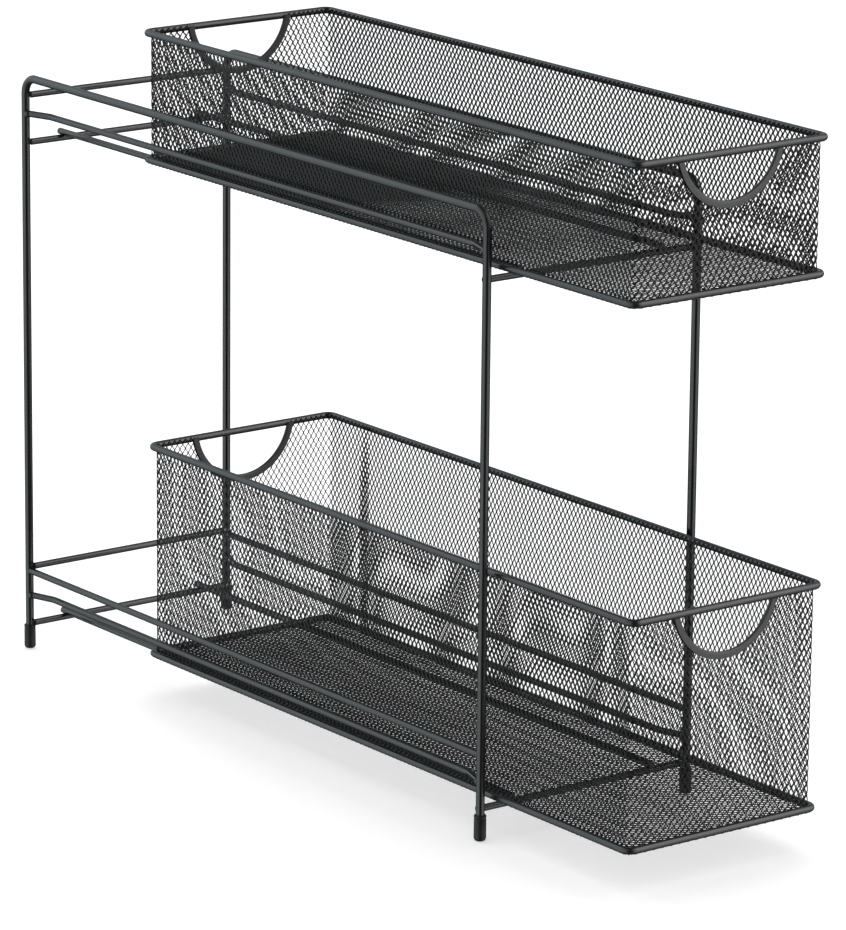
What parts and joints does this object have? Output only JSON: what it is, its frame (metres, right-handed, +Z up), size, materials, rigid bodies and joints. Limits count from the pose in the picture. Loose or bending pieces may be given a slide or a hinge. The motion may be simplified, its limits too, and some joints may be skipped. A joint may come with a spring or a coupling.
{
  "type": "pull out cabinet basket",
  "caption": "Narrow free-standing wire frame with an upper and a lower expanded-metal basket that slide out to the front on wire rails, with finger openings in their end walls.",
  "frame": {"origin": "on the floor under the feet, at the middle of the whole part's box with both baskets partly pulled out; the middle of the four legs lies 59.7 mm behind it", "axes": "-Y is the front, towards which the baskets slide out; +X is right seen from the front; +Z is up"},
  "size_m": [0.1546, 0.582, 0.4041],
  "materials": {
    "coated_wire": "satin black powder coat",
    "basket_rim": "satin black powder coat",
    "basket_mesh": "satin black powder coat on expanded metal",
    "finger_trim": "satin black powder coat",
    "foot_caps": "matte black"
  },
  "bodies": {
    "frame": {"left_side_frame": "coated_wire", "right_side_frame": "coated_wire", "front_left_foot": "foot_caps", "front_right_foot": "foot_caps", "back_left_foot": "foot_caps", "back_right_foot": "foot_caps", "upper_back_top_rod": "coated_wire", "upper_back_bottom_rod": "coated_wire", "upper_front_rod": "coated_wire", "lower_back_top_rod": "coated_wire", "lower_back_bottom_rod": "coated_wire", "lower_front_rod": "coated_wire", "upper_left_slide_rail": "coated_wire", "upper_left_guide_rail": "coated_wire", "upper_right_slide_rail": "coated_wire", "upper_right_guide_rail": "coated_wire", "lower_left_slide_rail": "coated_wire", "lower_left_guide_rail": "coated_wire", "lower_right_slide_rail": "coated_wire", "lower_right_guide_rail": "coated_wire", "lower_left_side_wire": "coated_wire", "lower_right_side_wire": "coated_wire"},
    "upper_basket": {"upper_bottom_rim": "basket_rim", "upper_top_rim": "basket_rim", "upper_floor_mesh": "basket_mesh", "upper_left_wall_mesh": "basket_mesh", "upper_right_wall_mesh": "basket_mesh", "upper_front_wall_mesh": "basket_mesh", "upper_back_wall_mesh": "basket_mesh", "upper_front_finger_trim": "finger_trim", "upper_back_finger_trim": "finger_trim"},
    "lower_basket": {"lower_bottom_rim": "basket_rim", "lower_top_rim": "basket_rim", "lower_floor_mesh": "basket_mesh", "lower_left_wall_mesh": "basket_mesh", "lower_right_wall_mesh": "basket_mesh", "lower_front_wall_mesh": "basket_mesh", "lower_back_wall_mesh": "basket_mesh", "lower_front_finger_trim": "finger_trim", "lower_back_finger_trim": "finger_trim"}
  },
  "joints": [
    {"name": "upper_slide", "type": "slide", "parent": "frame", "child": "upper_basket", "axis": [0, -1, 0], "range_m": [-0.1115, 0.2085]},
    {"name": "lower_slide", "type": "slide", "parent": "frame", "child": "lower_basket", "axis": [0, -1, 0], "range_m": [-0.116, 0.204]}
  ]
}
